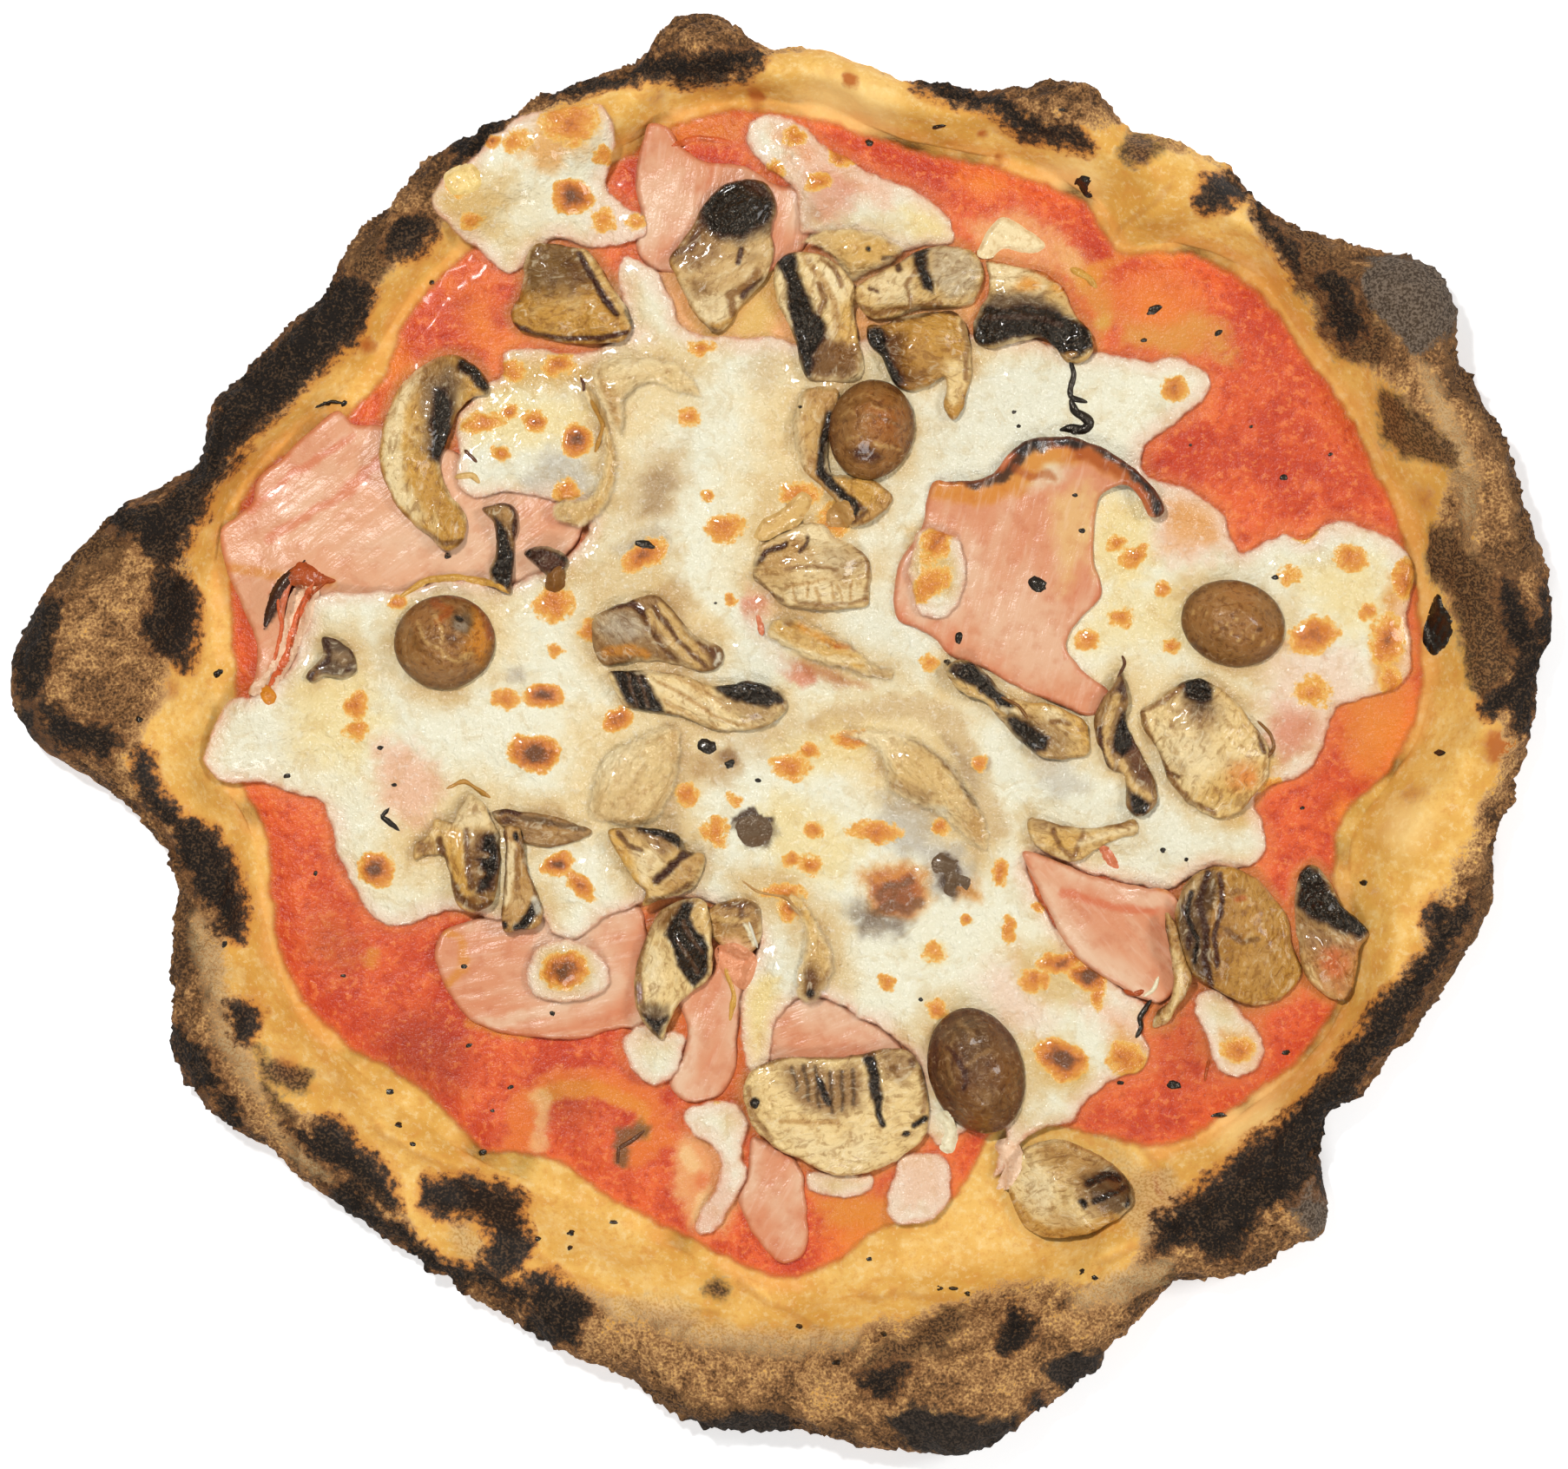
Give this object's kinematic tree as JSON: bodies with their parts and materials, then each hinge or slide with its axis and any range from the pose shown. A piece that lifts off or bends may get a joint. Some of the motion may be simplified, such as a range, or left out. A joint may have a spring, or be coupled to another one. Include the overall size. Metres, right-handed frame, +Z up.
{
  "type": "regina pizza",
  "caption": "Round thin pizza with a puffed, charred rim, tomato sauce, melted mozzarella, cooked ham, mushroom slices and whole dark olives.",
  "frame": {"origin": "centre of the bounding box, on the flat underside that the pizza rests on", "axes": "+Z up, out of the topped side; +X along the widest way across, towards the right of the picture; +Y towards the top of the picture"},
  "size_m": [0.33, 0.3088, 0.0225],
  "materials": {
    "baked_dough": "matte, golden to black where charred",
    "tomato_sauce": "wet, slightly oily",
    "cooked_ham": "moist satin",
    "melted_mozzarella": "moist, browned in spots",
    "cooked_mushroom": "moist, dark at the gills",
    "olive": "moist, wrinkled"
  },
  "bodies": {
    "root": {"dough": "baked_dough", "sauce": "tomato_sauce", "ham_top": "cooked_ham", "ham_left": "cooked_ham", "ham_lower_left": "cooked_ham", "ham_lower_middle": "cooked_ham", "ham_bottom_middle": "cooked_ham", "ham_bottom": "cooked_ham", "cheese_upper_left": "melted_mozzarella", "cheese_top": "melted_mozzarella", "cheese_middle": "melted_mozzarella", "cheese_lower_right": "melted_mozzarella", "cheese_bottom_left": "melted_mozzarella", "cheese_bottom": "melted_mozzarella", "cheese_bottom_right": "melted_mozzarella", "cheese_ring_drop": "melted_mozzarella", "cheese_white_drop": "melted_mozzarella", "ham_right": "cooked_ham", "ham_lower_right": "cooked_ham", "cheese_island": "melted_mozzarella", "mushroom_left_disc": "cooked_mushroom", "mushroom_arc": "cooked_mushroom", "mushroom_ring": "cooked_mushroom", "mushroom_veil": "cooked_mushroom", "mushroom_crescent": "cooked_mushroom", "mushroom_lower_arc": "cooked_mushroom", "mushroom_grey_flap": "cooked_mushroom", "mushroom_tan_fold": "cooked_mushroom", "mushroom_right_fold": "cooked_mushroom", "mushroom_upper_disc": "cooked_mushroom", "mushroom_brown_cap": "cooked_mushroom", "mushroom_black_cap": "cooked_mushroom", "mushroom_black_stripe": "cooked_mushroom", "mushroom_split_cap": "cooked_mushroom", "mushroom_stalked_cap": "cooked_mushroom", "mushroom_gill_band": "cooked_mushroom", "mushroom_comma": "cooked_mushroom", "mushroom_big_crescent": "cooked_mushroom", "mushroom_dark_curl": "cooked_mushroom", "mushroom_black_leaf": "cooked_mushroom", "mushroom_striped": "cooked_mushroom", "mushroom_long": "cooked_mushroom", "mushroom_collar": "cooked_mushroom", "mushroom_pale_loaf": "cooked_mushroom", "mushroom_black_strip": "cooked_mushroom", "mushroom_pointed": "cooked_mushroom", "mushroom_cream_cap": "cooked_mushroom", "mushroom_folded": "cooked_mushroom", "mushroom_foot": "cooked_mushroom", "mushroom_triangle": "cooked_mushroom", "mushroom_gilled": "cooked_mushroom", "mushroom_large": "cooked_mushroom", "mushroom_bottom_cap": "cooked_mushroom", "mushroom_wrinkled": "cooked_mushroom", "mushroom_black_edge": "cooked_mushroom", "mushroom_thin_strip": "cooked_mushroom", "olive_left": "olive", "olive_top": "olive", "olive_right": "olive", "olive_bottom": "olive"}
  },
  "joints": []
}
